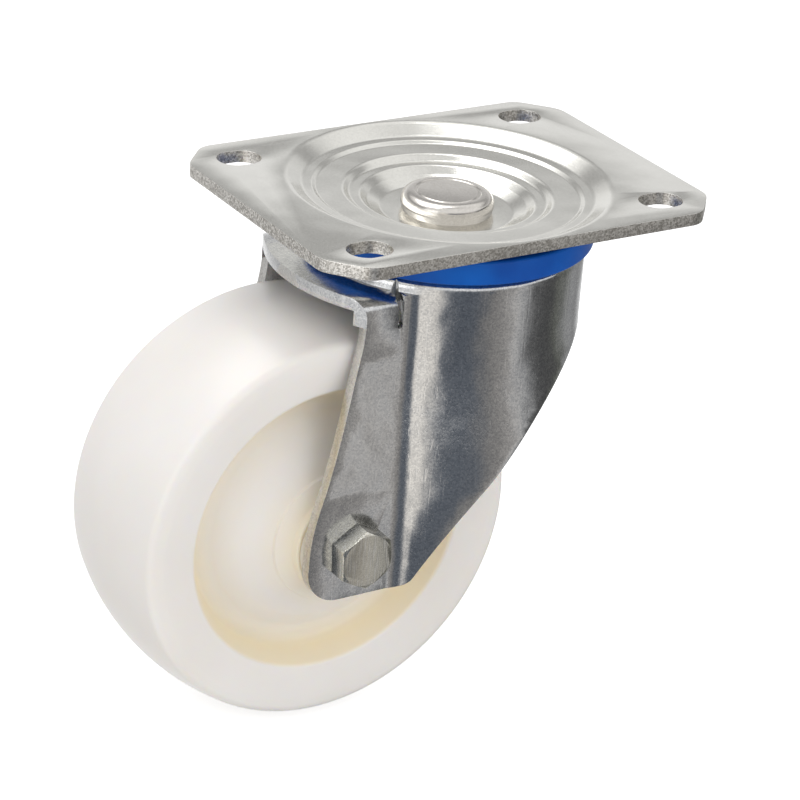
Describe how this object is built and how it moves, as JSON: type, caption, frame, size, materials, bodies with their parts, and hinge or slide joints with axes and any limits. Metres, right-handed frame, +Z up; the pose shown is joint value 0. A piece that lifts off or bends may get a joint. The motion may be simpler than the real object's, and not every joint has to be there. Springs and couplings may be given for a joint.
{
  "type": "swivel caster",
  "caption": "Swivel caster with a slotted rectangular top plate, a pressed zinc fork, a blue dust seal and a solid white wheel on a through bolt.",
  "frame": {"origin": "where the swivel axis meets the top face of the plate", "axes": "+Z up along the swivel axis, +X along the plate's long side, away from the trailing wheel, +Y along the axle away from the bolt's head"},
  "size_m": [0.1424, 0.0827, 0.1273],
  "materials": {
    "plate_zinc": "satin zinc",
    "pin_steel": "satin zinc",
    "race_steel": "satin zinc",
    "ball_steel": "polished",
    "seal_blue": "satin",
    "fork_zinc": "satin zinc",
    "bolt_zinc": "satin zinc",
    "insert_plastic": "satin",
    "tube_steel": "satin",
    "cage_plastic": "satin",
    "washer_plastic": "satin",
    "wheel_white": "smooth satin"
  },
  "bodies": {
    "plate": {"top_plate": "plate_zinc", "king_pin": "pin_steel", "lower_race": "race_steel"},
    "upper_bearing": {"upper_balls": "ball_steel"},
    "lower_bearing": {"lower_balls": "ball_steel"},
    "swivel_fork": {"fork": "fork_zinc", "dust_seal": "seal_blue", "axle_bolt": "bolt_zinc", "nut_washer": "bolt_zinc", "lock_nut": "bolt_zinc", "nut_insert": "insert_plastic", "axle_tube": "tube_steel", "hub_washer_near": "washer_plastic", "hub_washer_far": "washer_plastic"},
    "roller_set": {"roller_cage": "cage_plastic", "roller_1": "ball_steel", "roller_2": "ball_steel", "roller_3": "ball_steel", "roller_4": "ball_steel", "roller_5": "ball_steel", "roller_6": "ball_steel", "roller_7": "ball_steel", "roller_8": "ball_steel"},
    "running_wheel": {"wheel": "wheel_white"}
  },
  "joints": [
    {"name": "swivel", "type": "hinge", "parent": "plate", "child": "swivel_fork", "pos_m": [0, 0, 0], "axis": [0, 0, 1], "continuous": true},
    {"name": "wheel_spin", "type": "hinge", "parent": "swivel_fork", "child": "running_wheel", "pos_m": [-0.0382, 0, -0.0761], "axis": [0, 1, 0], "continuous": true},
    {"name": "upper_ball_travel", "type": "hinge", "parent": "plate", "child": "upper_bearing", "pos_m": [0, 0, 0], "axis": [0, 0, 1], "continuous": true},
    {"name": "lower_ball_travel", "type": "hinge", "parent": "plate", "child": "lower_bearing", "pos_m": [0, 0, 0], "axis": [0, 0, 1], "continuous": true},
    {"name": "roller_travel", "type": "hinge", "parent": "swivel_fork", "child": "roller_set", "pos_m": [-0.0382, 0, -0.0761], "axis": [0, 1, 0], "continuous": true}
  ],
  "couplings": [
    {"joint": "upper_ball_travel", "follows": "swivel", "ratio": 0.5},
    {"joint": "lower_ball_travel", "follows": "swivel", "ratio": 0.5},
    {"joint": "roller_travel", "follows": "wheel_spin", "ratio": 0.598}
  ]
}
